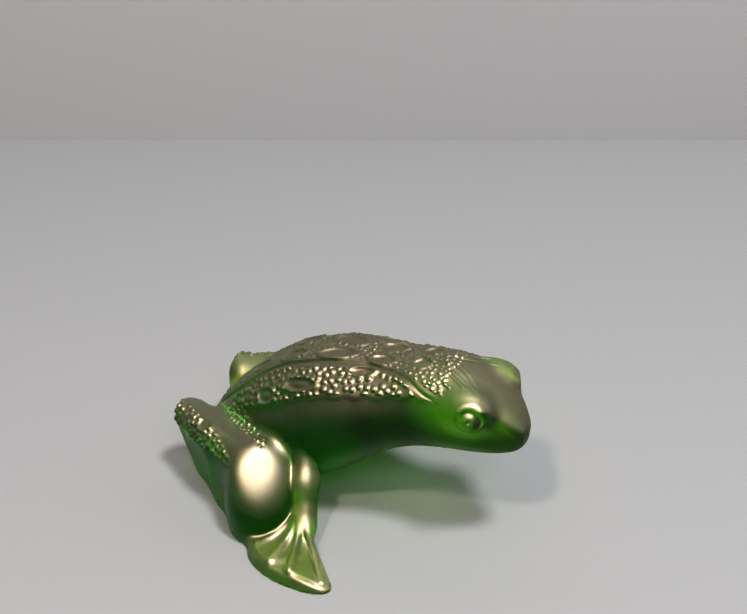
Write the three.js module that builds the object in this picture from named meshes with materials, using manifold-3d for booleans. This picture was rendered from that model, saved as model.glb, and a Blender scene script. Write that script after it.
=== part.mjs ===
// Sitting frog figurine, cast in one piece from solid frosted green glass.
// Millimetres. +Z up, the frog looks along -Y, its right side is -X.
// The figurine stands on one flat ground face at z = 0.
import * as THREE from 'three';
import { mergeVertices } from 'three/addons/utils/BufferGeometryUtils.js';
import Module from 'manifold-3d';

// ---------------------------------------------------------------- driving dimensions
const SNOUT_Y = -48.2;            // tip of the snout
const RUMP_Y = 47.4;              // end of the rump, between the heels
const BODY_RINGS = 38;            // rings along the torso and head
const BODY_SIDES = 40;            // points round each ring

// Torso and head, one row per station along Y:
// y, top of the back, bottom of the belly, half width, height of the widest line
const STATIONS = [
  [-48.2, 36.9, 34.9, 0.3, 35.8],
  [-48.0, 37.6, 33.6, 1.9, 35.7],
  [-47.3, 38.9, 32.2, 3.6, 35.6],
  [-46.0, 40.7, 31.2, 5.2, 35.8],
  [-44.0, 43.0, 30.6, 6.9, 36.6],
  [-41.0, 45.8, 30.0, 8.6, 37.8],
  [-37.0, 48.4, 29.4, 10.0, 38.6],
  [-32.0, 50.5, 28.7, 11.0, 38.8],
  [-27.0, 50.9, 27.7, 11.6, 38.4],
  [-22.0, 50.2, 26.4, 12.2, 37.5],
  [-15.0, 48.3, 23.4, 13.8, 35.5],
  [-8.0, 47.1, 18.3, 15.8, 32.5],
  [0.0, 46.3, 12.4, 17.6, 28.5],
  [8.0, 44.8, 6.8, 18.4, 24.5],
  [14.0, 42.8, 3.2, 18.2, 21.0],
  [20.0, 39.8, -1.0, 17.4, 18.0],
  [27.0, 34.8, -3.0, 15.8, 15.0],
  [33.0, 29.6, -4.0, 13.8, 13.0],
  [38.0, 24.4, -4.0, 11.8, 11.0],
  [42.0, 19.0, -3.0, 9.6, 8.5],
  [45.0, 12.0, -2.0, 7.2, 6.0],
  [47.4, 4.5, -1.0, 3.0, 2.0],
];
const BACK_SQUARENESS = 2.35;     // exponent of the section above the widest line
const BELLY_SQUARENESS = 2.2;     // exponent of the section below it

// Folded hind leg: heel, middle and knee, with radius and height in plan
const HEEL = { x: 11.0, y: 42.4, r: 5.1, top: 22.8 };
const MID = { x: 16.8, y: 28.4, r: 7.7, top: 23.9 };
const KNEE = { x: 24.3, y: 15.6, r: 9.3, top: 26.0 };
const LEG_CENTRE = { x: 17.2, y: 26.5 };
const LEG_SQUARENESS = 3.6;       // how upright the leg's side wall is
const LEG_LEAN_X = 0.13;          // the heel leans out this much per mm of height
const LEG_LEAN_Y = 0.20;          // and back this much
const KNEE_SLOPE_AT = [26.6, 11.2, 17.6];   // broad slope on the knee's upper front: a point on it
const KNEE_SLOPE_NORMAL = [0.50, -0.50, 0.707]; // and the way it faces

// Front leg: shoulder, elbow and wrist
const SHOULDER = [14.5, 7.2, 23.0];
const ELBOW = [19.4, 4.7, 14.2];
const WRIST = [24.8, 1.8, 5.4];
const SHOULDER_R = 3.6;
const ELBOW_R = 3.5;
const WRIST_R = 3.1;

// Webbed front foot: a fan about the wrist
const FOOT_CENTRE = { x: 23.2, y: 3.4 };
// from the fan's centre to its rim: degrees, radius (longer towards the inner toe)
const FAN = [[-45, 15.0], [-27, 16.2], [0, 18.1], [20.5, 20.1], [43.5, 23.0], [60, 23.4]];
const FOOT_BACK_R = 19.0;         // sets the fan's two side edges
const FOOT_WEB_DIP = 1.1;         // how far the web's edge draws in between two toes
const FOOT_FROM = -31;            // degrees, the rearmost toe
const FOOT_TO = 45;               // degrees, the inner toe, towards the snout
const FOOT_EDGE = 4.2;            // thickness of the pad at the toes
const FOOT_RISE = 3.2;            // extra thickness at the wrist
const TOES = [-27, 0, 20.5, 43.5];   // degrees, the four toe bones
const TOE_R = 1.2;                // half width of a toe bone at its tip

// Long hind foot, lying on the ground from the heel to under the front foot
const HINDFOOT_A = [18.5, 27.5];
const HINDFOOT_B = [33.0, 4.0];
const HINDFOOT_R = 6.2;
const HINDFOOT_T = 4.0;

// Eyes: mounds on the sides of the head, each with an eyeball
const EYE = [7.9, -35.4, 43.4];
const EYE_R = [4.7, 6.2, 5.2];
const EYEBALL = [10.2, -36.9, 42.9];
const EYEBALL_R = 3.1;

// ---------------------------------------------------------------- small tools
const wasm = await Module();
wasm.setup();

function monotone(rows, column) {
  const n = rows.length;
  const x = rows.map((r) => r[0]);
  const y = rows.map((r) => r[column]);
  const h = [];
  const d = [];
  for (let i = 0; i < n - 1; i++) {
    h.push(x[i + 1] - x[i]);
    d.push((y[i + 1] - y[i]) / h[i]);
  }
  const m = new Array(n).fill(0);
  m[0] = d[0];
  m[n - 1] = d[n - 2];
  for (let i = 1; i < n - 1; i++) {
    if (d[i - 1] * d[i] > 0) {
      const a = 2 * h[i] + h[i - 1];
      const b = h[i] + 2 * h[i - 1];
      m[i] = (a + b) / (a / d[i - 1] + b / d[i]);
    }
  }
  return (v) => {
    const q = Math.min(Math.max(v, x[0]), x[n - 1]);
    let i = 0;
    while (i < n - 2 && q > x[i + 1]) i++;
    const t = (q - x[i]) / h[i];
    const t2 = t * t;
    const t3 = t2 * t;
    return (2 * t3 - 3 * t2 + 1) * y[i] + (t3 - 2 * t2 + t) * h[i] * m[i]
      + (-2 * t3 + 3 * t2) * y[i + 1] + (t3 - t2) * h[i] * m[i + 1];
  };
}

function moveVertices(geometry, f) {
  const p = geometry.getAttribute('position');
  const v = new THREE.Vector3();
  for (let i = 0; i < p.count; i++) {
    v.fromBufferAttribute(p, i);
    f(v);
    p.setXYZ(i, v.x, v.y, v.z);
  }
  return geometry;
}

function solid(geometry) {
  const g = geometry.clone();
  for (const name of Object.keys(g.attributes)) {
    if (name !== 'position') g.deleteAttribute(name);
  }
  const m = mergeVertices(g, 1e-4);
  return new wasm.Manifold(new wasm.Mesh({
    numProp: 3,
    vertProperties: new Float32Array(m.getAttribute('position').array),
    triVerts: new Uint32Array(m.getIndex().array),
  }));
}

// The same geometry on the frog's right side (-X)
function mirrored(geometry) {
  const g = geometry.index ? geometry.toNonIndexed() : geometry.clone();
  const p = g.getAttribute('position');
  for (let i = 0; i < p.count; i += 3) {
    const a = [p.getX(i + 1), p.getY(i + 1), p.getZ(i + 1)];
    const b = [p.getX(i + 2), p.getY(i + 2), p.getZ(i + 2)];
    p.setXYZ(i, -p.getX(i), p.getY(i), p.getZ(i));
    p.setXYZ(i + 1, -b[0], b[1], b[2]);
    p.setXYZ(i + 2, -a[0], a[1], a[2]);
  }
  return g;
}

const signedPower = (v, e) => Math.sign(v) * Math.abs(v) ** e;

// ---------------------------------------------------------------- torso and head
function bodyGeometry() {
  const top = monotone(STATIONS, 1);
  const bottom = monotone(STATIONS, 2);
  const half = monotone(STATIONS, 3);
  const middle = monotone(STATIONS, 4);
  const g = new THREE.SphereGeometry(1, BODY_SIDES, BODY_RINGS);
  const yMid = (SNOUT_Y + RUMP_Y) / 2;
  const yHalf = (RUMP_Y - SNOUT_Y) / 2;
  return moveVertices(g, (v) => {
    const y = yMid + yHalf * v.y;
    const ring = Math.hypot(v.x, v.z);
    const m = middle(y);
    if (ring < 1e-6) {
      v.set(0, y, m);
      return;
    }
    const c = v.x / ring;
    const s = v.z / ring;
    const e = 2 / (s > 0 ? BACK_SQUARENESS : BELLY_SQUARENESS);
    const h = s > 0 ? top(y) - m : m - bottom(y);
    v.set(half(y) * signedPower(c, e), y, m + h * signedPower(s, e));
  });
}

// ---------------------------------------------------------------- folded hind leg
function legPlanDistance(x, y) {
  const part = (a, b) => {
    const dx = b.x - a.x;
    const dy = b.y - a.y;
    const t = Math.min(Math.max(((x - a.x) * dx + (y - a.y) * dy) / (dx * dx + dy * dy), 0), 1);
    return {
      d: Math.hypot(x - a.x - dx * t, y - a.y - dy * t) - (a.r + (b.r - a.r) * t),
      top: a.top + (b.top - a.top) * t,
    };
  };
  const p = part(HEEL, MID);
  const q = part(MID, KNEE);
  return p.d < q.d ? p : q;
}

function hindLegGeometry() {
  const g = new THREE.SphereGeometry(1, 28, 18);
  g.rotateX(Math.PI / 2);
  return moveVertices(g, (v) => {
    const ring = Math.hypot(v.x, v.y);
    const e = 2 / LEG_SQUARENESS;
    const up = signedPower(v.z, e);
    const out = ring < 1e-6 ? 0 : Math.abs(ring) ** e;
    let x = LEG_CENTRE.x;
    let y = LEG_CENTRE.y;
    if (out > 0) {
      const cx = v.x / ring;
      const cy = v.y / ring;
      let lo = 0;
      let hi = 60;
      for (let k = 0; k < 40; k++) {
        const mid = (lo + hi) / 2;
        if (legPlanDistance(LEG_CENTRE.x + cx * mid, LEG_CENTRE.y + cy * mid).d < 0) lo = mid;
        else hi = mid;
      }
      x += cx * lo * out;
      y += cy * lo * out;
    }
    const height = legPlanDistance(x, y).top;
    const z = up > 0 ? up * height : up * 6;
    const lean = Math.min(Math.max((y - 10) / 30, 0), 1);
    v.set(x + LEG_LEAN_X * lean * (z - 6), y + LEG_LEAN_Y * lean * (z - 10), z);
  });
}

// ---------------------------------------------------------------- tapered limb with round ends
function limbGeometry(a, b, ra, rb, sides = 18) {
  const from = new THREE.Vector3(...a);
  const to = new THREE.Vector3(...b);
  const length = from.distanceTo(to);
  const profile = [];
  const caps = 5;
  for (let i = 0; i <= caps; i++) {
    const t = (i / caps) * Math.PI / 2;
    profile.push(new THREE.Vector2(i === 0 ? 0 : ra * Math.sin(t), -ra * Math.cos(t)));
  }
  for (let i = 0; i <= caps; i++) {
    const t = (i / caps) * Math.PI / 2;
    profile.push(new THREE.Vector2(i === caps ? 0 : rb * Math.cos(t), length + rb * Math.sin(t)));
  }
  const g = new THREE.LatheGeometry(profile, sides);
  const turn = new THREE.Quaternion().setFromUnitVectors(
    new THREE.Vector3(0, 1, 0), to.clone().sub(from).normalize());
  g.applyQuaternion(turn);
  g.translate(from.x, from.y, from.z);
  return g;
}

// ---------------------------------------------------------------- webbed front foot
const fanRim = monotone(FAN, 1);

function fanRadius(deg) {
  let near = 1e9;
  for (let i = 0; i < TOES.length - 1; i++) {
    if (deg >= TOES[i] && deg <= TOES[i + 1]) {
      const t = (deg - TOES[i]) / (TOES[i + 1] - TOES[i]);
      near = FOOT_WEB_DIP * Math.sin(Math.PI * t);
    }
  }
  return fanRim(deg) - (near > 1e8 ? 0 : near);
}

function footGeometry() {
  const shape = new THREE.Shape();
  const inset = 0.8;
  const at = (deg, r) => {
    const t = THREE.MathUtils.degToRad(deg);
    return [FOOT_CENTRE.x + r * Math.cos(t), FOOT_CENTRE.y - r * Math.sin(t)];
  };
  const points = [];
  const steps = 22;
  for (let i = 0; i <= steps; i++) {
    const deg = FOOT_FROM + ((FOOT_TO - FOOT_FROM) * i) / steps;
    points.push(at(deg, fanRadius(deg) - inset));
  }
  points.push(at(FOOT_TO + 12, FOOT_BACK_R * 0.55));
  points.push(at(FOOT_TO + 45, 4.2));
  points.push(at(FOOT_TO + 100, 3.2));
  points.push(at(FOOT_FROM - 100, 3.2));
  points.push(at(FOOT_FROM - 30, 5.5));
  points.push(at(FOOT_FROM - 8, FOOT_BACK_R * 0.6));
  points.forEach((p, i) => (i === 0 ? shape.moveTo(...p) : shape.lineTo(...p)));
  shape.closePath();
  const g = new THREE.ExtrudeGeometry(shape, {
    depth: FOOT_EDGE + 2 - 1.2, bevelEnabled: true, bevelThickness: 1.2, bevelSize: inset,
    bevelSegments: 2, steps: 1, curveSegments: 4,
  });
  g.translate(0, 0, -2);
  return moveVertices(g, (v) => {
    if (v.z < 1) return;
    const r = Math.hypot(v.x - FOOT_CENTRE.x, v.y - FOOT_CENTRE.y);
    v.z += FOOT_RISE * Math.exp(-((r / 8) ** 2));
  });
}

function toeGeometry(deg) {
  const t = THREE.MathUtils.degToRad(deg);
  const r = fanRadius(deg) - 2.2;
  const a = [FOOT_CENTRE.x + 3.5 * Math.cos(t), FOOT_CENTRE.y - 3.5 * Math.sin(t), FOOT_EDGE + 1.6];
  const b = [FOOT_CENTRE.x + r * Math.cos(t), FOOT_CENTRE.y - r * Math.sin(t), FOOT_EDGE - 0.6];
  return limbGeometry(a, b, 1.0, TOE_R, 10);
}

// ---------------------------------------------------------------- hind foot
function hindFootGeometry() {
  const dx = HINDFOOT_B[0] - HINDFOOT_A[0];
  const dy = HINDFOOT_B[1] - HINDFOOT_A[1];
  const turn = Math.atan2(dy, dx);
  const shape = new THREE.Shape();
  const inset = 0.8;
  const n = 9;
  const r = HINDFOOT_R - inset;
  for (let i = 0; i <= n; i++) {
    const t = turn + Math.PI / 2 + (Math.PI * i) / n;
    const p = [HINDFOOT_A[0] + r * Math.cos(t), HINDFOOT_A[1] + r * Math.sin(t)];
    if (i === 0) shape.moveTo(...p); else shape.lineTo(...p);
  }
  for (let i = 0; i <= n; i++) {
    const t = turn - Math.PI / 2 + (Math.PI * i) / n;
    shape.lineTo(HINDFOOT_B[0] + r * Math.cos(t), HINDFOOT_B[1] + r * Math.sin(t));
  }
  shape.closePath();
  const g = new THREE.ExtrudeGeometry(shape, {
    depth: HINDFOOT_T + 2 - 1, bevelEnabled: true, bevelThickness: 1, bevelSize: inset,
    bevelSegments: 2, steps: 1, curveSegments: 4,
  });
  g.translate(0, 0, -2);
  return g;
}

// ---------------------------------------------------------------- eyes
function eyeMoundGeometry() {
  const g = new THREE.SphereGeometry(1, 20, 14);
  g.scale(...EYE_R);
  g.translate(...EYE);
  return g;
}

function eyeballGeometry() {
  const g = new THREE.SphereGeometry(EYEBALL_R, 14, 10);
  g.translate(...EYEBALL);
  return g;
}

// ---------------------------------------------------------------- join, cut flat, centre
const slopeCut = new THREE.BoxGeometry(60, 60, 30);
slopeCut.translate(0, 0, 15);
slopeCut.applyQuaternion(new THREE.Quaternion().setFromUnitVectors(
  new THREE.Vector3(0, 0, 1), new THREE.Vector3(...KNEE_SLOPE_NORMAL).normalize()));
slopeCut.translate(...KNEE_SLOPE_AT);

const pairs = [
  limbGeometry(SHOULDER, ELBOW, SHOULDER_R, ELBOW_R),
  limbGeometry(ELBOW, WRIST, ELBOW_R, WRIST_R),
  footGeometry(),
  ...TOES.map(toeGeometry),
  hindFootGeometry(),
  eyeMoundGeometry(),
  eyeballGeometry(),
];
let frog = solid(bodyGeometry());
frog = frog.add(solid(hindLegGeometry()).subtract(solid(slopeCut)))
  .add(solid(mirrored(hindLegGeometry())).subtract(solid(mirrored(slopeCut))));
for (const g of pairs) {
  frog = frog.add(solid(g)).add(solid(mirrored(g)));
}
const below = new THREE.BoxGeometry(140, 140, 30);
below.translate(0, 0, -15);
frog = frog.subtract(solid(below));

const mesh = frog.getMesh();
const geometry = new THREE.BufferGeometry();
geometry.setAttribute('position', new THREE.BufferAttribute(new Float32Array(mesh.vertProperties), 3));
geometry.setIndex(new THREE.BufferAttribute(new Uint32Array(mesh.triVerts), 1));
geometry.computeBoundingBox();
const box = geometry.boundingBox;
geometry.translate(-(box.min.x + box.max.x) / 2, -(box.min.y + box.max.y) / 2, 0);
geometry.computeVertexNormals();

const glass = new THREE.MeshStandardMaterial({
  name: 'frosted_green_glass', color: 0x1f5a1a, roughness: 0.35, metalness: 0.0,
});
const casting = new THREE.Mesh(geometry, glass);
casting.name = 'frog_casting';

const group = new THREE.Group();
group.add(casting);
export default group;
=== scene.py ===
import math
import bpy
import numpy as np
import openvdb
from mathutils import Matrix, Vector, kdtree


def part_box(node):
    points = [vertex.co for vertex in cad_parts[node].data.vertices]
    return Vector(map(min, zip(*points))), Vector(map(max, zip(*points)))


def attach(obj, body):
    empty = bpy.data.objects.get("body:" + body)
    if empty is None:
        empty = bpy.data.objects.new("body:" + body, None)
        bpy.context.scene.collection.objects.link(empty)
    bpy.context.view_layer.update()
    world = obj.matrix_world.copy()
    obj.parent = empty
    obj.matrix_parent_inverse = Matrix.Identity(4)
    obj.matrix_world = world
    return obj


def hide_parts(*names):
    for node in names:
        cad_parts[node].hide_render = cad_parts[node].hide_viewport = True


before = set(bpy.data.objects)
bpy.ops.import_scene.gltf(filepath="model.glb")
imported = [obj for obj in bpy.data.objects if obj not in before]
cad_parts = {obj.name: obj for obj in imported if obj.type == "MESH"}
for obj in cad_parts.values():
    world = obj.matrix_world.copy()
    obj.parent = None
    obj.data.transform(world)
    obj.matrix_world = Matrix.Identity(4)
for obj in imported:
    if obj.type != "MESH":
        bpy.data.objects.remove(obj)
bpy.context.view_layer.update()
NODE_LO, NODE_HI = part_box("frog_casting")
NODE_LO = np.array(NODE_LO, float); NODE_HI = np.array(NODE_HI, float)
MM = 0.001

# =====================================================================
# Shape of the casting, millimetres, +Z up, the frog looks along -Y.
# Signed distance of smooth-joined forms; x is mirrored.
# =====================================================================

# ---------- helpers
def smin(a,b,k):
    h=np.maximum(k-np.abs(a-b),0.0)/k
    return np.minimum(a,b)-h*h*k*0.25
def smax(a,b,k): return -smin(-a,-b,k)
def pchip(xk,yk):
    xk=np.asarray(xk,float); yk=np.asarray(yk,float)
    h=np.diff(xk); dl=np.diff(yk)/h
    m=np.zeros(len(xk))
    for i in range(1,len(xk)-1):
        if dl[i-1]*dl[i]>0:
            w1=2*h[i]+h[i-1]; w2=h[i]+2*h[i-1]
            m[i]=(w1+w2)/(w1/dl[i-1]+w2/dl[i])
    m[0]=dl[0]; m[-1]=dl[-1]
    def f(x):
        x=np.clip(x,xk[0],xk[-1])
        i=np.clip(np.searchsorted(xk,x,side='right')-1,0,len(xk)-2)
        t=(x-xk[i])/h[i]
        t2=t*t; t3=t2*t
        return ((2*t3-3*t2+1)*yk[i]+(t3-2*t2+t)*h[i]*m[i]+(-2*t3+3*t2)*yk[i+1]+(t3-t2)*h[i]*m[i+1])
    return f
# ---------- torso and head stations: y, top, bottom, half width, height of widest line
ST=np.array([
[-48.2,36.9,34.9,0.30,35.8],
[-48.0,37.6,33.6,1.90,35.7],
[-47.3,38.9,32.2,3.60,35.6],
[-46.0,40.7,31.2,5.20,35.8],
[-44.0,43.0,30.6,6.90,36.6],
[-41.0,45.8,30.0,8.60,37.8],
[-37.0,48.4,29.4,10.0,38.6],
[-32.0,50.5,28.7,11.0,38.8],
[-27.0,50.9,27.7,11.6,38.4],
[-22.0,50.2,26.4,12.2,37.5],
[-15.0,48.3,23.4,13.8,35.5],
[-8.0,47.1,18.3,15.8,32.5],
[0.0,46.3,12.4,17.6,28.5],
[8.0,44.8,6.8,18.4,24.5],
[14.0 ,42.8, 3.2,18.2,21.0],
[20.0 ,39.8,-1.0,17.4,18.0],
[27.0 ,34.8,-3.0,15.8,15.0],
[33.0 ,29.6,-4.0,13.8,13.0],
[38.0 ,24.4,-4.0,11.8,11.0],
[42.0 ,19.0,-3.0, 9.6, 8.5],
[45.0 ,12.0,-2.0, 7.2, 6.0],
[47.4 ,4.5,-1.0, 3.0, 2.0]])
fT,fB,fW,fM=[pchip(ST[:,0],ST[:,i]) for i in (1,2,3,4)]
fNU=pchip([-48.2,-46,-42,-37,-30,-20,0,30,47.4],[2.4,2.9,3.1,2.8,2.6,2.4,2.35,2.35,2.3])
fND=pchip([-48.2,-44,-36,-28,-15,0,47.4],[2.2,2.5,2.6,2.5,2.3,2.2,2.2])
def body_rho(x,y,z):
    t=fT(y); b=fB(y); w=np.maximum(fW(y),0.2); m=fM(y)
    up=z>m
    h=np.where(up,np.maximum(t-m,0.2),np.maximum(m-b,0.2))
    n=np.where(up,fNU(y),fND(y))
    r=((np.abs(x)/w)**n+(np.abs(z-m)/h)**n+1e-12)**(1.0/n)
    over=np.maximum(ST[0,0]-y,0)+np.maximum(y-ST[-1,0],0)
    return r+over*4.0
def body(x,y,z):
    e=0.05
    f=body_rho(x,y,z)
    gx=(body_rho(x+e,y,z)-body_rho(x-e,y,z))/(2*e)
    gy=(body_rho(x,y+e,z)-body_rho(x,y-e,z))/(2*e)
    gz=(body_rho(x,y,z+e)-body_rho(x,y,z-e))/(2*e)
    g=np.sqrt(gx*gx+gy*gy+gz*gz)
    g=np.maximum(g,0.03)
    return (f-1.0)/g
def rcone(x,y,z,a,b,ra,rb):
    a=np.asarray(a,float); b=np.asarray(b,float); d=b-a
    t=np.clip(((x-a[0])*d[0]+(y-a[1])*d[1]+(z-a[2])*d[2])/(d@d),0,1)
    return np.sqrt((x-a[0]-d[0]*t)**2+(y-a[1]-d[1]*t)**2+(z-a[2]-d[2]*t)**2)-(ra+(rb-ra)*t)
def ellip(x,y,z,c,r):
    qx,qy,qz=x-c[0],y-c[1],z-c[2]
    k0=np.sqrt((qx/r[0])**2+(qy/r[1])**2+(qz/r[2])**2); k1=np.sqrt((qx/r[0]**2)**2+(qy/r[1]**2)**2+(qz/r[2]**2)**2)
    return k0*(k0-1.0)/np.maximum(k1,1e-6)
def seg2(x,y,a,b):
    dx,dy=b[0]-a[0],b[1]-a[1]; L=dx*dx+dy*dy
    t=np.clip(((x-a[0])*dx+(y-a[1])*dy)/L,0,1)
    return np.hypot(x-a[0]-dx*t,y-a[1]-dy*t),t
def tall(d2,z,top,R):
    qx=d2+R; qz=z-top+R
    return np.minimum(np.maximum(qx,qz),0)+np.hypot(np.maximum(qx,0),np.maximum(qz,0))-R
# ---------- folded hind leg, X=|x|
HEEL=(11.2,42.2); MID=(16.6,28.6); KNEE=(23.4,15.9)
def leg_mass(X,y,z):
    g=np.clip((y-12.0)/28.0,0,1)
    xs=X-0.13*g*(z-6); ys=y-0.20*g*(z-10)
    tp=0.13*(1-g)*(z-9)*np.clip((z+4)/8,0,1)
    d1,t1=seg2(xs,ys,HEEL,MID); d2,t2=seg2(xs,ys,MID,KNEE)
    a=tall(d1-(5.0+2.3*t1)+tp,z,22.8+1.0*t1,4.6+1.9*t1)
    b=tall(d2-(7.3+0.4*t2)+tp,z,23.8+1.0*t2,6.5+1.0*t2)
    return smin(a,b,2.0)
GROOVE=[(8.6,47.0,27.6),(13.6,37.0,26.4),(18.4,28.6,25.8),(23.0,21.2,27.0)]
def chain(X,y,z,P,r0,r1):
    d=None; n=len(P)-1
    for i in range(n):
        s=rcone(X,y,z,P[i],P[i+1],r0+(r1-r0)*i/n,r0+(r1-r0)*(i+1)/n)
        d=s if d is None else np.minimum(d,s)
    return d
SHO=(14.5,7.2,23.0); ELB=(19.4,4.7,14.2); WRI=(24.8,1.7,5.2)
def knee(X,y,z):
    """Folded leg with the knee's rounded mass; its upper front is a broad, nearly flat slope."""
    d=smin(leg_mass(X,y,z),ellip(X,y,z,(24.8,15.2,8.6),(9.8,9.0,17.2)),3.5)
    return smax(d,(X-SLOPE_AT[0])*SLOPE_N[0]+(y-SLOPE_AT[1])*SLOPE_N[1]+(z-SLOPE_AT[2])*SLOPE_N[2],3.4)
SLOPE_AT=(27.2,10.6,18.0); SLOPE_N=(0.50,-0.50,0.707)
def front_leg(X,y,z):
    a=rcone(X,y,z,SHO,ELB,3.4,3.4)
    b=rcone(X,y,z,ELB,WRI,3.4,3.1)
    return smin(a,b,3.0)
FC=(23.2,3.4); TOES=(-27.0,0.0,20.5,43.5)
fFR=pchip([-45,-27,0,20.5,43.5,60],[14.2,15.3,17.2,19.3,22.4,22.9])
fFT=pchip([-45,-27,0,20.5,36,43.5,60],[3.4,3.6,4.2,4.5,3.6,2.7,2.3])
def fan_r(ang):
    r=fFR(ang)
    for a,b in zip(TOES[:-1],TOES[1:]):
        t=np.clip((ang-a)/(b-a),0,1)
        r=r-1.0*np.sin(np.pi*t)**0.8*((ang>a)&(ang<b))
    return r
def flute(ang):
    """1 halfway between two toes, 0 on them."""
    f=np.zeros_like(ang)
    for a,b in zip(TOES[:-1],TOES[1:]):
        t=np.clip((ang-a)/(b-a),0,1)
        f=f+np.sin(np.pi*t)*((ang>a)&(ang<b))
    return f
def foot(X,y,z):
    dx=X-FC[0]; dy=y-FC[1]
    ang=np.degrees(np.arctan2(-dy,dx)); r=np.hypot(dx,dy)
    A0,A1=TOES[0]-4.0,TOES[-1]+2.0
    mid=(A0+A1)/2; half=(A1-A0)/2
    da=np.radians(np.abs(ang-mid)-half)
    side=r*np.sin(np.clip(da,-1.2,1.2))
    side=np.where(np.abs(ang-mid)>120,r,side)
    d2=smax(r-fan_r(ang)+0.03*np.clip(-ang-10,0,30),side-1.2,2.0)
    rr=np.clip(r/17.0,0,1)
    top=(fFT(ang)*rr+4.6*(1-rr))+3.2*np.exp(-(np.maximum(r,0)/8.5)**2)-0.5*np.exp(-((r-11)/4.5)**2)-0.55*flute(ang)*np.clip((r-5)/6,0,1)
    d=tall(d2,z,top-0.35,0.7)
    # lower pad, reaching further out than the fan
    d3=smax(r-(fFR(ang)+1.3-0.28*z),side-1.9,3.0)
    d=smin(d,tall(d3,z,fFT(ang)-1.1,0.9),0.8)
    for a in TOES:
        t=np.radians(a); R=float(fFR(np.array(a)))-1.3; zt=float(fFT(np.array(a)))-0.95
        p=(FC[0]+3.2*np.cos(t),FC[1]-3.2*np.sin(t),6.6)
        m=(FC[0]+0.55*R*np.cos(t),FC[1]-0.55*R*np.sin(t),4.45)
        q=(FC[0]+R*np.cos(t),FC[1]-R*np.sin(t),zt)
        d=smin(d,np.minimum(rcone(X,y,z,p,m,0.8,0.8),rcone(X,y,z,m,q,0.8,1.05)),0.7)
    return d
def hindfoot(X,y,z):
    d,t=seg2(X,y,(18.5,27.5),(33.0,4.0))
    return tall(d-(5.2+1.7*t),z,3.9,1.6)
EYEM=(8.1,-35.4,43.6); EYEB=(10.2,-36.9,42.9); RB=3.1
def eye(X,y,z):
    return ellip(X,y,z,EYEM,(4.7,6.2,5.2))
NE=np.array([0.86,-0.30,0.38]); NE=NE/np.linalg.norm(NE)
WE=np.array([0,0,1.0])-NE[2]*NE; WE=WE/np.linalg.norm(WE)
UE=np.cross(WE,NE)
def eye_detail(d,X,y,z):
    """Eyeball in its opening, heavy upper lid, thin lower lid, small pupil dimple."""
    near=(X-EYEB[0])**2+(y-EYEB[1])**2+(z-EYEB[2])**2<81.0
    if not near.any():
        return d
    qx,qy,qz=X[near]-EYEB[0],y[near]-EYEB[1],z[near]-EYEB[2]
    a=qx*NE[0]+qy*NE[1]+qz*NE[2]; w=qx*WE[0]+qy*WE[1]+qz*WE[2]; u=qx*UE[0]+qy*UE[1]+qz*UE[2]
    rho=np.sqrt(w*w+u*u)
    e=d[near]
    e=smax(e,-(np.sqrt(rho*rho+(a-0.9)**2)-(RB+0.30)),0.5)
    e=smin(e,np.sqrt(rho*rho+a*a)-RB,0.2)
    e=smax(e,-(np.sqrt(u*u+(w+0.7)**2+(a-3.35)**2)-0.75),0.4)
    up=np.clip((w/np.maximum(rho,1e-3)+0.25)/0.9,0,1); up=up*up*(3-2*up)
    lid=np.sqrt((rho-3.2+0.15*up)**2+(a-0.55-1.05*up)**2)-(0.36+0.95*up)
    e=smin(e,lid,0.8)
    d=d.copy(); d[near]=e
    return d
def sdf(P,detail=True):
    x,y,z=P[...,0],P[...,1],P[...,2]
    X=np.abs(x)
    d=body(x,y,z)
    d=smax(d,(X-5.9)*0.776-(y+44.9)*0.615-(z-40.3)*0.139,0.7)
    d=smin(d,eye(X,y,z),3.0)
    if detail:
        d=eye_detail(d,X,y,z)
    lm=knee(X,y,z)
    d=smin(d,lm,3.5)
    d=smax(d,-chain(X,y,z,GROOVE,3.4,2.2),2.2)
    fl=smin(front_leg(X,y,z),foot(X,y,z),2.5)
    fl=smin(fl,hindfoot(X,y,z),1.2)
    d=smin(d,fl,1.0)
    return smax(d,-z,0.5) if detail else np.maximum(d,-z)

# =====================================================================
# Surface: level set -> mesh -> exact projection -> local refinement
# =====================================================================
def dist(V):
    out = np.empty(len(V))
    for i in range(0, len(V), 60000):
        out[i:i+60000] = sdf(V[i:i+60000])
    return out

def grad(V, e=0.04):
    G = np.empty_like(V)
    for k in range(3):
        d = np.zeros(3); d[k] = e
        G[:, k] = (dist(V + d) - dist(V - d)) / (2 * e)
    return G

def project(V, steps=2, limit=0.5):
    for _ in range(steps):
        G = grad(V)
        g2 = np.maximum((G * G).sum(1), 0.25)
        s = np.clip(dist(V) / np.sqrt(g2), -limit, limit)
        V = V - G / np.sqrt(g2)[:, None] * s[:, None]
    return V

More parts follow.
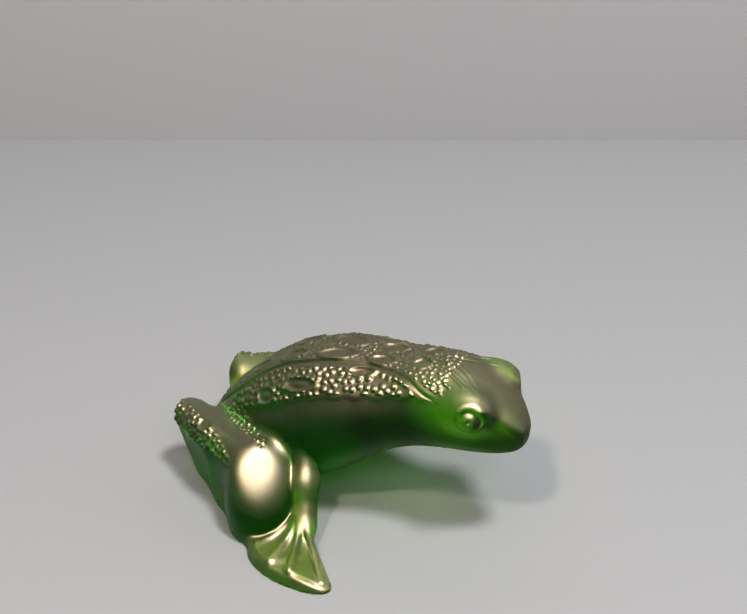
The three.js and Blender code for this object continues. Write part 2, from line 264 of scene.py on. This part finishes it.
def first_mesh(h):
    nx = int(math.ceil(46.0 / h)); ny = int(math.ceil(104.0 / h)); nz = int(math.ceil(57.0 / h))
    xs = np.arange(0, nx + 1) * h
    ys = -52.0 + np.arange(ny + 1) * h
    zs = -2.0 + (np.arange(nz + 1) + 0.37) * h
    X, Y, Z = np.meshgrid(xs, ys, zs, indexing="ij")
    P = np.stack([X.ravel(), Y.ravel(), Z.ravel()], 1)
    D = dist(P).reshape(X.shape)
    D = np.clip(D, -3 * h, 3 * h) / h
    full = np.concatenate([D[:0:-1], D], 0).astype(np.float32)
    g = openvdb.FloatGrid()
    g.background = 3.0
    g.copyFromArray(full)
    pts, tri, quad = g.convertToPolygons(isovalue=0.0, adaptivity=0.0)
    V = pts.astype(float)
    V[:, 0] = (V[:, 0] - nx) * h
    V[:, 1] = ys[0] + V[:, 1] * h
    V[:, 2] = zs[0] + V[:, 2] * h
    q = quad.astype(np.int64)
    a = np.linalg.norm(V[q[:, 0]] - V[q[:, 2]], axis=1)
    b = np.linalg.norm(V[q[:, 1]] - V[q[:, 3]], axis=1)
    m = (a <= b)[:, None]
    T = np.concatenate([np.where(m, q[:, [0, 1, 2]], q[:, [0, 1, 3]]),
                        np.where(m, q[:, [0, 2, 3]], q[:, [1, 2, 3]])], 0)
    if len(tri):
        T = np.concatenate([T, tri.astype(np.int64)], 0)
    v = (V[T[:, 0]] * np.cross(V[T[:, 1]], V[T[:, 2]])).sum() / 6.0
    if v < 0:
        T = T[:, ::-1].copy()
    return V, T

def refine(V, T, want):
    """Splits every edge longer than want(midpoint); each triangle is cut to match its edges."""
    E = np.sort(np.concatenate([T[:, [0, 1]], T[:, [1, 2]], T[:, [2, 0]]], 0), 1)
    key = E[:, 0] * (len(V) + 1) + E[:, 1]
    uk, first, inv = np.unique(key, return_index=True, return_inverse=True)
    U = E[first]
    M = 0.5 * (V[U[:, 0]] + V[U[:, 1]])
    L = np.linalg.norm(V[U[:, 0]] - V[U[:, 1]], axis=1)
    cut = L > want(M)
    new = np.full(len(U), -1, np.int64)
    new[cut] = len(V) + np.arange(cut.sum())
    V2 = np.concatenate([V, M[cut]], 0)
    n = len(T)
    m = new[inv.reshape(-1)].reshape(3, n).T          # midpoint on edges 01, 12, 20
    c = (m >= 0)
    k = c.sum(1)
    out = [T[k == 0]]
    # one cut edge
    for e in range(3):
        s = (k == 1) & c[:, e]
        t = T[s]; a = t[:, e]; b = t[:, (e + 1) % 3]; d = t[:, (e + 2) % 3]; x = m[s, e]
        out += [np.stack([a, x, d], 1), np.stack([x, b, d], 1)]
    # two cut edges: the uncut edge is e
    for e in range(3):
        s = (k == 2) & ~c[:, e]
        t = T[s]; a = t[:, e]; b = t[:, (e + 1) % 3]; d = t[:, (e + 2) % 3]
        x = m[s, (e + 1) % 3]; y = m[s, (e + 2) % 3]     # on b-d and d-a
        out.append(np.stack([x, d, y], 1))
        ax = np.linalg.norm(V2[a] - V2[x], axis=1); by = np.linalg.norm(V2[b] - V2[y], axis=1)
        f = (ax <= by)[:, None]
        out.append(np.where(f, np.stack([a, b, x], 1), np.stack([a, b, y], 1)))
        out.append(np.where(f, np.stack([a, x, y], 1), np.stack([b, x, y], 1)))
    s = k == 3
    t = T[s]; x, y, w = m[s, 0], m[s, 1], m[s, 2]
    out += [np.stack([t[:, 0], x, w], 1), np.stack([x, t[:, 1], y], 1), np.stack([w, y, t[:, 2]], 1), np.stack([x, y, w], 1)]
    return V2, np.concatenate(out, 0)

def relax(V, T, rounds=2, k=0.5):
    """Evens the spacing of the points along the surface."""
    E = np.unique(np.sort(np.concatenate([T[:, [0, 1]], T[:, [1, 2]], T[:, [2, 0]]], 0), 1), axis=0)
    for _ in range(rounds):
        S = np.zeros_like(V); C = np.zeros(len(V))
        for a, b in ((0, 1), (1, 0)):
            for j in range(3):
                S[:, j] += np.bincount(E[:, a], V[E[:, b], j], len(V))
            C += np.bincount(E[:, a], minlength=len(V))
        D = S / np.maximum(C, 1)[:, None] - V
        N = vnormals(V, T)
        D -= (D * N).sum(1)[:, None] * N
        keep = (V[:, 2] > 0.6)[:, None]
        V = V + k * D * keep
    return V

def vnormals(V, T):
    F = np.cross(V[T[:, 1]] - V[T[:, 0]], V[T[:, 2]] - V[T[:, 0]])
    N = np.zeros_like(V)
    for j in range(3):
        for c in range(3):
            N[:, j] += np.bincount(T[:, c], F[:, j], len(V))
    return N / np.maximum(np.linalg.norm(N, axis=1), 1e-12)[:, None]

# ---------------------------------------------------------------------
# Relief: folds, oval rings, granules. X = |x|
# ---------------------------------------------------------------------
def sstep(a, b, v):
    t = np.clip((v - a) / (b - a), 0, 1)
    return t * t * (3 - 2 * t)

# dorsolateral fold: y, X, z
FOLD = np.array([
 [-31.0, 10.6, 46.6], [-29.5, 10.9, 45.6], [-25.7, 10.3, 45.7], [-21.5, 9.2, 47.0], [-19.5, 8.2, 47.5], [-13.4, 6.4, 47.2],
 [-6.0, 5.6, 46.3], [-1.4, 5.9, 45.9], [3.3, 6.4, 45.1], [9.7, 7.0, 43.3], [17.2, 7.2, 40.2],
 [24.3, 7.6, 35.3], [29.2, 8.2, 30.8], [35.2, 8.0, 25.2], [40.0, 7.0, 19.5]])
fXR = pchip(FOLD[:, 0], FOLD[:, 1])
fZB = pchip([-29, -25, -19.3, -14, -5.9, -0.6, 5.4, 10.1, 14.7, 20.0, 25.8, 31, 36],
            [45.4, 44.6, 43.7, 42.6, 41.1, 39.9, 38.0, 36.0, 33.4, 30.6, 27.4, 24.5, 21])
def sample_curve(P, n):
    P = np.asarray(P, float)
    s = np.concatenate([[0], np.cumsum(np.linalg.norm(np.diff(P, axis=0), axis=1))])
    f = [pchip(s, P[:, k]) for k in range(3)]
    t = np.linspace(0, s[-1], n)
    return np.stack([g(t) for g in f], 1), t / s[-1]
def curve_dist(Q, P):
    """Distance of Q from the polyline P, and how far along it."""
    best = np.full(len(Q), 1e9); at = np.zeros(len(Q))
    for i in range(len(P) - 1):
        a = P[i]; d = P[i + 1] - a
        t = np.clip(((Q - a) @ d) / (d @ d), 0, 1)
        r = np.linalg.norm(Q - a - t[:, None] * d, axis=1)
        m = r < best
        best[m] = r[m]; at[m] = (i + t[m]) / (len(P) - 1)
    return best, at

# oval rings: centre, long axis direction, half length, half width, granule-free margin
RINGS = [
 ((3.7, 3.7, 45.5), (0.18, 1.0, -0.12), 5.5, 2.35),
 ((3.2, -20.4, 49.6), (0.05, 1.0, -0.20), 2.7, 2.0),
 ((3.3, -9.4, 47.0), (0.05, 1.0, -0.05), 3.6, 2.1),
 ((4.0, 16.6, 41.3), (0.10, 1.0, -0.60), 4.2, 2.2),
 ((3.8, 26.4, 34.9), (0.05, 1.0, -0.80), 3.4, 2.2),
 ((8.3, -6.1, 45.5), (0.22, 1.0, -0.15), 3.7, 1.45),
 ((13.2, 9.4, 39.6), (-0.05, 1.0, -0.32), 5.2, 1.9),
 ((13.9, 19.3, 33.4), (-0.20, 1.0, -0.42), 3.3, 2.2),
 ((20.4, 35.0, 22.9), (-0.55, 1.0, 0.0), 2.6, 1.9),
]
def relief_masks(V):
    X = np.abs(V[:, 0]); y = V[:, 1]; z = V[:, 2]
    xr = fXR(y); top = fT(y)
    onb = sstep(-2.2, -1.0, z - fZB(y) - 1.0)
    back = (X < xr - 0.9) * sstep(-6.0, -4.5, z - top) * sstep(-30.0 , -27.0, y) * (1 - sstep(37.0, 39.0, y + 1.6 * np.sin(X * 1.9)))
    band = (X > xr + 1.3 + 0.9 * sstep(-14, -6, y) * (1 - sstep(12, 18, y))) * (z > fZB(y) + 0.5) * sstep(-28.5, -27.0, y) * (1 - sstep(31.0, 33.0, y)) * (z > 24.5)
    # outer strip along the shank's crest and upper wall, inner strip along the thigh
    t = np.clip((47.0 - y) / 25.0, 0, 1)
    xo = 12.3 + 14.6 * t
    outer = (X > xo + 0.5) * (y > 22.5) * (y < 48.5) * (z > 17.5 + 1.5 * t) * (z < 27)
    ti = np.clip((38.0 - y) / 22.0, 0, 1)
    xi = 8.9 + 12.6 * ti
    inner = (np.abs(X - xi - 0.3) < 2.0 - 0.5 * ti) * (y > 15.5) * (y < 39.0) * (z < fZB(y) + 0.6)
    return back, band, outer.astype(float), inner.astype(float)

def ring_field(V):
    """How far inside the rings' margins each point is, and the rings' own height."""
    Q = V.copy(); Q[:, 0] = np.abs(Q[:, 0])
    h = np.zeros(len(V)); free = np.ones(len(V))
    for c, ax, a, b in RINGS:
        c = np.array(c, float); q = Q - c
        near = np.linalg.norm(q, axis=1) < a * 1.9
        if not near.any():
            continue
        ax = np.array(ax, float); ax /= np.linalg.norm(ax)
        u = q @ ax
        w = np.linalg.norm(q - u[:, None] * ax, axis=1)
        e = np.sqrt((u / a) ** 2 + (w / b) ** 2)
        s = (e - 1) * b
        ringh = 0.46 * np.exp(-(s / 0.36) ** 2) - 0.20 * np.exp(-((s + 0.95) / 0.6) ** 2) * (e < 1)
        h += np.where(near, ringh, 0)
        free = np.where(near, np.minimum(free, sstep(0.25, 0.55, s)), free)
    return h, free

def granules(V, T, N):
    masks = relief_masks(V)
    ringh, free = ring_field(V)
    rng = np.random.RandomState(23)
    h = np.zeros(len(V))
    spacing = (1.15, 1.62, 1.50, 1.15)
    amp = (0.34, 0.50, 0.50, 0.42)
    fill = (0.96, 0.96, 0.92, 0.92)
    Q = V.copy(); Q[:, 0] = np.abs(Q[:, 0])
    for m, sp, A, fl in zip(masks, spacing, amp, fill):
        on = m * free > 0.3
        cand = np.where(on & (V[:, 0] > 0))[0]
        if not len(cand):
            continue
        cand = cand[rng.permutation(len(cand))]
        cell = {}
        seeds = []
        for i in cand:
            p = Q[i]
            k = (int(p[0] // sp), int(p[1] // sp), int(p[2] // sp))
            ok = True
            for dx in (-1, 0, 1):
                for dy in (-1, 0, 1):
                    for dz in (-1, 0, 1):
                        for s in cell.get((k[0] + dx, k[1] + dy, k[2] + dz), ()):
                            if (s[0] - p[0]) ** 2 + (s[1] - p[1]) ** 2 + (s[2] - p[2]) ** 2 < sp * sp:
                                ok = False
                                break
                        if not ok: break
                    if not ok: break
                if not ok: break
            if ok:
                cell.setdefault(k, []).append(tuple(p))
                seeds.append(tuple(p))
        S = np.array(seeds)
        keep = rng.rand(len(S)) < fl
        S = S[keep]
        R = sp * (0.52 + 0.09 * rng.rand(len(S)))
        Ah = A * (0.65 + 0.5 * rng.rand(len(S)))
        kd = kdtree.KDTree(len(S))
        for i, s in enumerate(S):
            kd.insert(s, i)
        kd.balance()
        ids = np.where(m > 0.02)[0]
        near = np.concatenate([ids]) 
        for i in near:
            co, j, d = kd.find(Q[i])
            if d < R[j]:
                t = 1 - (d / R[j]) ** 2
                h[i] = max(h[i], Ah[j] * (1 - (d / R[j]) ** 3))
    return h + ringh, masks, free

FOLD_LINE = sample_curve(FOLD[:, [1, 0, 2]], 60)[0]
CANTHUS = sample_curve([(11.4, -38.6, 46.6), (10.1, -40.2, 45.4), (8.2, -42.4, 43.3), (5.7, -44.8, 40.2),
                        (3.4, -47.2, 37.4), (1.4, -48.1, 35.5)], 24)[0]
# fine folds that run from the nape to the brow: (X, y, z) lines
WRINKLES = [sample_curve(p, 16)[0] for p in (
    [(1.6, -24.0, 50.6), (2.6, -29.0, 50.9), (4.6, -33.5, 50.3), (7.0, -37.0, 48.9)],
    [(3.6, -24.5, 50.0), (5.0, -28.5, 50.2), (6.6, -32.0, 49.6), (8.0, -34.6, 49.0)],
    [(5.8, -24.6, 49.0), (7.2, -28.0, 49.0), (8.6, -31.0, 48.5)],
)]

def fold_relief(V):
    """Back standing a step above the side band, band's own lower lip, brow and snout creases."""
    Q = V.copy(); Q[:, 0] = np.abs(Q[:, 0])
    y, z = Q[:, 1], Q[:, 2]
    d, t = curve_dist(Q, FOLD_LINE)
    s = d * np.sign(Q[:, 0] - fXR(y))
    ends = sstep(0.0, 0.10, t) * (1 - sstep(0.92, 1.0, t))
    h = 0.30 * (1 - sstep(-0.35, 0.35, s)) * (1 - sstep(1.2, 5.5, -s))
    h += 0.10 * np.exp(-((s + 0.5) / 0.5) ** 2)
    h -= 0.30 * np.exp(-((s - 0.42) / 0.34) ** 2)
    h += 0.24 * np.exp(-((s - 1.6) / 0.7) ** 2) * sstep(-24, -18, y) * (1 - sstep(22, 28, y))
    h *= ends
    # lower lip of the band, slightly scalloped
    zb = fZB(y) + 0.25 * np.sin(y * 1.1)
    w = z - zb
    along = sstep(-28.0, -23.0, y) * (1 - sstep(25.0, 30.0, y)) * (s > 0)
    h += along * (0.30 * sstep(-1.0, 0.6, w) * (1 - sstep(2.5, 7.0, w)) - 0.10 * np.exp(-((w + 2.0) / 1.4) ** 2))
    # snout crease
    d2, t2 = curve_dist(Q, CANTHUS)
    m = np.array([-0.66, -0.13, 0.63]); m /= np.linalg.norm(m)
    near = d2 < 4.0
    s2 = np.zeros(len(Q))
    k = np.clip((t2[near] * (len(CANTHUS) - 1)).astype(int), 0, len(CANTHUS) - 1)
    s2[near] = (Q[near] - CANTHUS[k]) @ m
    s2 = np.sign(s2) * d2
    e2 = sstep(0.0, 0.16, t2) * (1 - sstep(0.86, 1.0, t2)) * near
    c = np.where(s2 > 0, 0.22 * np.exp(-(s2 / 1.8) ** 2), 0.22 * np.exp(-(s2 / 0.6) ** 2))
    c -= 0.12 * np.exp(-((s2 + 1.6) / 1.1) ** 2)
    h += c * e2
    for L in WRINKLES:
        d3, t3 = curve_dist(Q, L)
        h += (0.26 * np.exp(-(d3 / 0.34) ** 2) - 0.10 * np.exp(-((d3 - 0.8) / 0.4) ** 2)) * sstep(0, 0.15, t3) * (1 - sstep(0.85, 1, t3))
    return h

# =====================================================================
def build():
    V, T = first_mesh(0.8)
    V = project(V, 3, 0.6)
    V = relax(V, T, 2, 0.5)
    V = project(V, 2, 0.5)
    fine = 0.32

    def want(M):
        X = np.abs(M[:, 0]); y = M[:, 1]; z = M[:, 2]
        L = np.full(len(M), 1.2)
        back, band, outer, inner = relief_masks(M)
        d, t = curve_dist(np.stack([X, y, z], 1), sample_curve(FOLD[:, [1, 0, 2]], 24)[0])
        d2, t2 = curve_dist(np.stack([X, y, z], 1), CANTHUS)
        tex = (back > 0.02) | (band > 0.02) | (outer > 0) | (inner > 0) | (d < 2.2) | (d2 < 2.2)
        tex |= (X < 10) & (y < -23) & (y > -38.5) & (z > 47.6)
        tex |= (np.abs(z - fZB(y)) < 2.0) & (X > 8) & (y > -28) & (y < 30)
        L[tex] = fine
        eye_ = np.sqrt((X - EYEB[0]) ** 2 + (y - EYEB[1]) ** 2 + (z - EYEB[2]) ** 2) < 5.4
        L[eye_] = min(L[eye_].min() if eye_.any() else 9, fine * 1.15)
        foot_ = (X > 25.5) & (z < 9.5) & (y < 14) & (z > 0.3)
        L[foot_] = np.minimum(L[foot_], fine * 1.7)
        rim = (z < 1.0) & (z > 0.02)
        L[rim] = np.minimum(L[rim], fine * 2.0)
        return L * 1.25
    for _ in range(2):
        V, T = refine(V, T, want)
        V = project(V, 1, 0.4)
    V = relax(V, T, 2, 0.4)
    V = project(V, 2, 0.3)
    N = grad(V, 0.12)
    N /= np.maximum(np.linalg.norm(N, axis=1), 1e-9)[:, None]
    hg, masks, free = granules(V, T, N)
    h = hg + fold_relief(V)
    h *= sstep(0.3, 1.5, V[:, 2])
    V = V + N * h[:, None]
    V[:, 2] = np.maximum(V[:, 2], 0.0)
    return V, T, masks, hg

V, T, MASKS, HG = build()
# seat the casting on the CAD model's box: same ground height, same middle in X and Y
lo = V.min(0) * MM; hi = V.max(0) * MM
shift = np.array([0.5 * (NODE_LO[0] + NODE_HI[0]), 0.5 * (NODE_LO[1] + NODE_HI[1]) - 0.5 * (lo[1] + hi[1]), NODE_LO[2]])
shift[0] -= 0.5 * (lo[0] + hi[0])
me = bpy.data.meshes.new("frog_casting_fine")
me.from_pydata([tuple(p) for p in (V * MM + shift)], [], [tuple(int(i) for i in t) for t in T])
me.update()
me.polygons.foreach_set("use_smooth", [True] * len(me.polygons))
frog = bpy.data.objects.new("frog_glass", me)
bpy.context.scene.collection.objects.link(frog)
print("frog mesh", len(V), "points", len(T), "triangles", "box mm", (V.max(0) - V.min(0)).round(2))

# =====================================================================
# Glass
# =====================================================================
def glass_material():
    m = bpy.data.materials.new("frosted_green_glass")
    m.use_nodes = True
    nt = m.node_tree
    nt.nodes.clear()
    out = nt.nodes.new("ShaderNodeOutputMaterial")
    b = nt.nodes.new("ShaderNodeBsdfPrincipled")
    b.inputs["Base Color"].default_value = (0.93, 0.97, 0.90, 1)
    b.inputs["Transmission Weight"].default_value = 1.0
    b.inputs["IOR"].default_value = 1.52
    b.inputs["Specular Tint"].default_value = (0.45, 0.45, 0.42, 1)
    tc = nt.nodes.new("ShaderNodeTexCoord")
    n1 = nt.nodes.new("ShaderNodeTexNoise")
    n1.inputs["Scale"].default_value = 90.0
    n1.inputs["Detail"].default_value = 3.0
    mr = nt.nodes.new("ShaderNodeMapRange")
    mr.inputs["To Min"].default_value = 0.26
    mr.inputs["To Max"].default_value = 0.38
    nt.links.new(tc.outputs["Object"], n1.inputs["Vector"])
    nt.links.new(n1.outputs["Fac"], mr.inputs["Value"])
    nt.links.new(mr.outputs["Result"], b.inputs["Roughness"])
    # fine etch of the satin surface
    n2 = nt.nodes.new("ShaderNodeTexNoise")
    n2.inputs["Scale"].default_value = 1600.0
    n2.inputs["Detail"].default_value = 2.0
    bp = nt.nodes.new("ShaderNodeBump")
    bp.inputs["Strength"].default_value = 0.12
    bp.inputs["Distance"].default_value = 0.0002
    nt.links.new(tc.outputs["Object"], n2.inputs["Vector"])
    nt.links.new(n2.outputs["Fac"], bp.inputs["Height"])
    nt.links.new(bp.outputs["Normal"], b.inputs["Normal"])
    v = nt.nodes.new("ShaderNodeVolumeAbsorption")
    v.inputs["Color"].default_value = (0.70, 0.885, 0.0, 1)
    v.inputs["Density"].default_value = 290.0
    # warm-tinted glossy layer mixed over the glass by how far each face looks up: a real glossy reflection whose weight
    # is painted sheen, strongest on the upward faces where the lamps above light them, thin elsewhere
    gl = nt.nodes.new("ShaderNodeBsdfGlossy")
    gl.inputs["Color"].default_value = (1.0, 0.87, 0.70, 1)
    gl.inputs["Roughness"].default_value = 0.47
    geo = nt.nodes.new("ShaderNodeNewGeometry")
    sep = nt.nodes.new("ShaderNodeSeparateXYZ")
    # painted sheen: the glossy weight follows the face normal's Z, so upward faces are made shinier where the overhead
    # lamps fall
    up = nt.nodes.new("ShaderNodeMapRange")
    up.interpolation_type = "SMOOTHSTEP"
    up.inputs["From Min"].default_value = 0.0
    up.inputs["From Max"].default_value = 0.70
    up.inputs["To Min"].default_value = 0.0
    up.inputs["To Max"].default_value = 0.20
    nt.links.new(geo.outputs["Normal"], sep.inputs["Vector"])
    nt.links.new(sep.outputs["Z"], up.inputs["Value"])
    front = nt.nodes.new("ShaderNodeMath")
    front.operation = "SUBTRACT"
    front.inputs[0].default_value = 1.0
    # painted sheen weight: the upward-facing weight, on front faces only
    painted_sheen_weight = nt.nodes.new("ShaderNodeMath")
    painted_sheen_weight.operation = "MULTIPLY"
    nt.links.new(geo.outputs["Backfacing"], front.inputs[1])
    nt.links.new(up.outputs["Result"], painted_sheen_weight.inputs[0])
    nt.links.new(front.outputs["Value"], painted_sheen_weight.inputs[1])
    mix = nt.nodes.new("ShaderNodeMixShader")
    nt.links.new(painted_sheen_weight.outputs["Value"], mix.inputs["Fac"])
    nt.links.new(b.outputs["BSDF"], mix.inputs[1])
    nt.links.new(gl.outputs["BSDF"], mix.inputs[2])
    nt.links.new(bp.outputs["Normal"], gl.inputs["Normal"])
    nt.links.new(mix.outputs["Shader"], out.inputs["Surface"])
    nt.links.new(v.outputs["Volume"], out.inputs["Volume"])
    return m
me.materials.append(glass_material())
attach(frog, "root")
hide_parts("frog_casting")

# =====================================================================
# Floor, camera, lights
# =====================================================================
def plain(name, col, rough):
    m = bpy.data.materials.new(name)
    m.use_nodes = True
    b = m.node_tree.nodes["Principled BSDF"]
    b.inputs["Base Color"].default_value = (*col, 1)
    b.inputs["Roughness"].default_value = rough
    return m
bpy.ops.mesh.primitive_plane_add(size=6.0, location=(0, 0, float(NODE_LO[2]) - 0.00002))
floor = bpy.context.object
floor.name = "floor"
floor.data.materials.append(plain("floor_paper", (0.224, 0.240, 0.264), 0.9))

cam_data = bpy.data.cameras.new("camera")
cam_data.sensor_width = 36.0
cam_data.lens = 36.0 * 1400.0 / 747.0
cam_data.clip_start = 0.01
cam_data.clip_end = 50
camera = bpy.data.objects.new("camera", cam_data)
bpy.context.scene.collection.objects.link(camera)
AZ, PITCH = math.radians(-60.857), math.radians(30.0)
back_dir = Vector((math.sin(AZ) * math.cos(PITCH), -math.cos(AZ) * math.cos(PITCH), math.sin(PITCH)))
camera.location = Vector((-0.2655, -0.1530, 0.2353))
camera.rotation_euler = back_dir.to_track_quat("Z", "Y").to_euler()
bpy.context.scene.camera = camera

def area(name, az, el, dist_, size, power, colour=(1, 1, 1), target=(0, 0, 0.02)):
    d = bpy.data.lights.new(name, "AREA")
    d.shape = "DISK"
    d.size = size
    d.energy = power
    d.color = colour
    o = bpy.data.objects.new(name, d)
    bpy.context.scene.collection.objects.link(o)
    a, e = math.radians(az), math.radians(el)
    b = Vector((math.sin(a) * math.cos(e), -math.cos(a) * math.cos(e), math.sin(e)))
    o.location = Vector(target) + b * dist_
    o.rotation_euler = b.to_track_quat("Z", "Y").to_euler()
    return o
area("main", -26, 66, 1.2, 0.20, 12.4, (1.0, 0.945, 0.88))
area("front", -50, 43, 1.2, 0.24, 2.4, (1.0, 0.93, 0.86))
area("side", -83, 54, 1.1, 0.09, 5.0, (1.0, 0.80, 0.60))
area("soft", -66, 66, 1.0, 0.95, 3.2, (1.0, 0.95, 0.90))
area("back", 128, 34, 1.4, 0.30, 4.0, (1.0, 0.98, 0.90))
area("fill", 32, 28, 1.5, 1.3, 3.6, (1.0, 0.94, 0.84))

# plain wall well behind the casting
a_ = math.radians(-60.857)
wall_dir = Vector((-math.sin(a_), math.cos(a_), 0.0))
bpy.ops.mesh.primitive_plane_add(size=6.0, location=Vector((-0.2655, -0.1530, 1.0)) + wall_dir * 0.549)
wall = bpy.context.object
wall.name = "wall"
wall.rotation_euler = (-wall_dir).to_track_quat("Z", "Y").to_euler()
wall.data.materials.append(plain("wall_paper", (0.29, 0.307, 0.335), 0.9))

world = bpy.data.worlds.new("studio")
world.use_nodes = True
bpy.context.scene.world = world
bg = world.node_tree.nodes["Background"]
bg.inputs["Color"].default_value = (0.93, 0.96, 1.0, 1)
bg.inputs["Strength"].default_value = 0.12

sc = bpy.context.scene
sc.view_settings.view_transform = "Standard"
sc.view_settings.look = "High Contrast"
sc.cycles.transmission_bounces = 14
sc.cycles.max_bounces = 16
sc.cycles.caustics_reflective = True
sc.cycles.caustics_refractive = True
